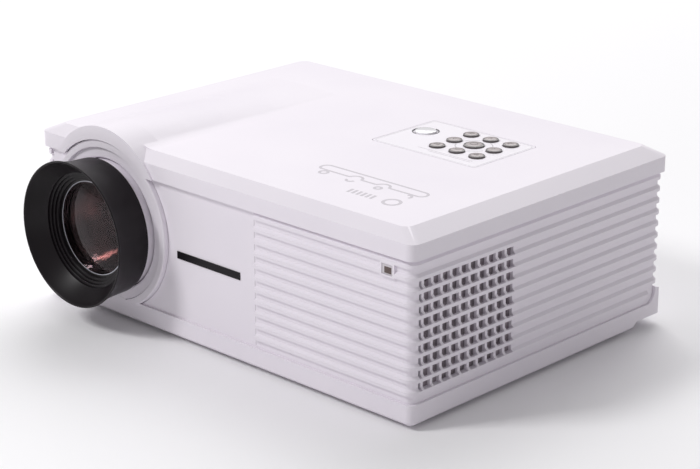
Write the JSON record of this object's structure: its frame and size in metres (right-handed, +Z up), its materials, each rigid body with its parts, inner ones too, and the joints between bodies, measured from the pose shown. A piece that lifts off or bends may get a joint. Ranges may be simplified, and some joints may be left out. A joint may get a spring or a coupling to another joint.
{
  "type": "video projector with disc player",
  "caption": "White desktop video projector with a flared black lens hood, keypad on top, ribbed vented walls and a disc tray.",
  "frame": {"origin": "on the surface it stands on, under the middle of the whole outline, lens hood included", "axes": "+Z up, the lens looks along -Y, the vent grid side is +X"},
  "size_m": [0.33, 0.2722, 0.1293],
  "materials": {
    "case_white": "fine satin grain",
    "hood_black": "satin",
    "barrel_black": "matt",
    "lens_glass": "polished, coated",
    "inner_glass": "polished",
    "lcd_dark": "gloss",
    "window_dark": "gloss",
    "strip_black": "gloss",
    "plate_white": "satin film",
    "key_grey": "satin",
    "key_silver": "satin paint",
    "board_green": "solder mask",
    "sheet_steel": "zinc plated",
    "polished_steel": "ground",
    "sink_metal": "extruded",
    "fan_black": "moulded",
    "tray_dark": "fine grain",
    "inner_grey": "moulded",
    "socket_black": "moulded",
    "shell_metal": "nickel plated",
    "foot_rubber": "matt"
  },
  "bodies": {
    "case": {"top_cover": "case_white", "keypad_plate": "plate_white", "keypad_board": "board_green", "middle_frame": "case_white", "lens_bezel": "case_white", "ir_window": "window_dark", "name_strip": "strip_black", "bottom_case": "case_white", "rubber_feet": "foot_rubber", "case_screws": "polished_steel", "lens_mount": "barrel_black", "light_tunnel": "inner_grey", "lcd_panel": "lcd_dark", "field_lenses": "inner_glass", "condenser_lens": "inner_glass", "lamp_module": "sink_metal", "heat_sink": "sink_metal", "drive_chassis": "sheet_steel", "drive_cover": "sheet_steel", "spindle_motor": "polished_steel", "sled_rods": "polished_steel", "fan_frame": "fan_black", "main_board": "board_green", "power_board": "board_green", "rear_panel": "case_white", "ac_inlet": "socket_black", "switch_frame": "socket_black", "vga_socket": "shell_metal", "hdmi_socket": "shell_metal", "usb_socket": "shell_metal", "av_jacks": "shell_metal", "speaker": "fan_black"},
    "focus_slider": {"glide_ring": "inner_grey"},
    "lens": {"lens_hood": "hood_black", "lens_barrel": "barrel_black", "front_glass": "lens_glass", "rear_glass": "inner_glass"},
    "tray": {"disc_tray": "tray_dark", "tray_fascia": "case_white"},
    "pinion": {"tray_pinion": "inner_grey"},
    "eject": {"eject_button": "key_grey"},
    "spindle": {"spindle_hub": "inner_grey"},
    "puck": {"clamp_puck": "inner_grey"},
    "pickup": {"laser_sled": "inner_grey"},
    "fan": {"fan_rotor": "fan_black"},
    "rocker": {"power_rocker": "socket_black"},
    "leg": {"leg_screw": "socket_black", "leg_pad": "foot_rubber"},
    "power_key": {"power_button": "key_silver"},
    "key_source": {"key_source": "key_grey"},
    "key_down": {"key_down": "key_grey"},
    "key_eject": {"key_eject": "key_grey"},
    "key_left": {"key_left": "key_grey"},
    "key_ok": {"key_ok": "key_grey"},
    "key_right": {"key_right": "key_grey"},
    "key_menu": {"key_menu": "key_grey"},
    "key_up": {"key_up": "key_grey"},
    "key_play": {"key_play": "key_grey"}
  },
  "joints": [
    {"name": "focus_slide", "type": "slide", "parent": "case", "child": "focus_slider", "axis": [0, -1, 0], "range_m": [0, 0.007]},
    {"name": "focus_turn", "type": "hinge", "parent": "focus_slider", "child": "lens", "pos_m": [-0.1, -0.0856, 0.0643], "axis": [0, -1, 0], "range_deg": [0, 200]},
    {"name": "tray_slide", "type": "slide", "parent": "case", "child": "tray", "axis": [0, 1, 0], "range_m": [0, 0.126]},
    {"name": "pinion_turn", "type": "hinge", "parent": "case", "child": "pinion", "pos_m": [0.037, 0.1124, 0.066], "axis": [0, 0, 1], "continuous": true},
    {"name": "eject_press", "type": "slide", "parent": "case", "child": "eject", "axis": [0, -1, 0], "range_m": [0, 0.001], "stiffness_N_per_m": 300, "springref_m": -0.001},
    {"name": "spindle_turn", "type": "hinge", "parent": "case", "child": "spindle", "pos_m": [0.078, 0.0664, 0.07], "axis": [0, 0, 1], "continuous": true},
    {"name": "puck_turn", "type": "hinge", "parent": "case", "child": "puck", "pos_m": [0.078, 0.0664, 0.08], "axis": [0, 0, 1], "continuous": true},
    {"name": "pickup_slide", "type": "slide", "parent": "case", "child": "pickup", "axis": [0, -1, 0], "range_m": [0, 0.028]},
    {"name": "fan_turn", "type": "hinge", "parent": "case", "child": "fan", "pos_m": [0.147, -0.05337, 0.0543], "axis": [1, 0, 0], "continuous": true},
    {"name": "rocker_tilt", "type": "hinge", "parent": "case", "child": "rocker", "pos_m": [-0.131, 0.1292, 0.076], "axis": [-1, 0, 0], "range_deg": [0, 20]},
    {"name": "leg_slide", "type": "slide", "parent": "case", "child": "leg", "axis": [0, 0, -1], "range_m": [0, 0.014]},
    {"name": "power_press", "type": "slide", "parent": "case", "child": "power_key", "axis": [0, 0, -1], "range_m": [0, 0.0012], "stiffness_N_per_m": 300, "springref_m": -0.001},
    {"name": "key_source_press", "type": "slide", "parent": "case", "child": "key_source", "axis": [0, 0, -1], "range_m": [0, 0.0012], "stiffness_N_per_m": 300, "springref_m": -0.001},
    {"name": "key_down_press", "type": "slide", "parent": "case", "child": "key_down", "axis": [0, 0, -1], "range_m": [0, 0.0012], "stiffness_N_per_m": 300, "springref_m": -0.001},
    {"name": "key_eject_press", "type": "slide", "parent": "case", "child": "key_eject", "axis": [0, 0, -1], "range_m": [0, 0.0012], "stiffness_N_per_m": 300, "springref_m": -0.001},
    {"name": "key_left_press", "type": "slide", "parent": "case", "child": "key_left", "axis": [0, 0, -1], "range_m": [0, 0.0012], "stiffness_N_per_m": 300, "springref_m": -0.001},
    {"name": "key_ok_press", "type": "slide", "parent": "case", "child": "key_ok", "axis": [0, 0, -1], "range_m": [0, 0.0012], "stiffness_N_per_m": 300, "springref_m": -0.001},
    {"name": "key_right_press", "type": "slide", "parent": "case", "child": "key_right", "axis": [0, 0, -1], "range_m": [0, 0.0012], "stiffness_N_per_m": 300, "springref_m": -0.001},
    {"name": "key_menu_press", "type": "slide", "parent": "case", "child": "key_menu", "axis": [0, 0, -1], "range_m": [0, 0.0012], "stiffness_N_per_m": 300, "springref_m": -0.001},
    {"name": "key_up_press", "type": "slide", "parent": "case", "child": "key_up", "axis": [0, 0, -1], "range_m": [0, 0.0012], "stiffness_N_per_m": 300, "springref_m": -0.001},
    {"name": "key_play_press", "type": "slide", "parent": "case", "child": "key_play", "axis": [0, 0, -1], "range_m": [0, 0.0012], "stiffness_N_per_m": 300, "springref_m": -0.001}
  ],
  "couplings": [
    {"joint": "focus_slide", "follows": "focus_turn", "m_per_rad": 0.002},
    {"joint": "pinion_turn", "follows": "tray_slide", "rad_per_m": -125}
  ]
}
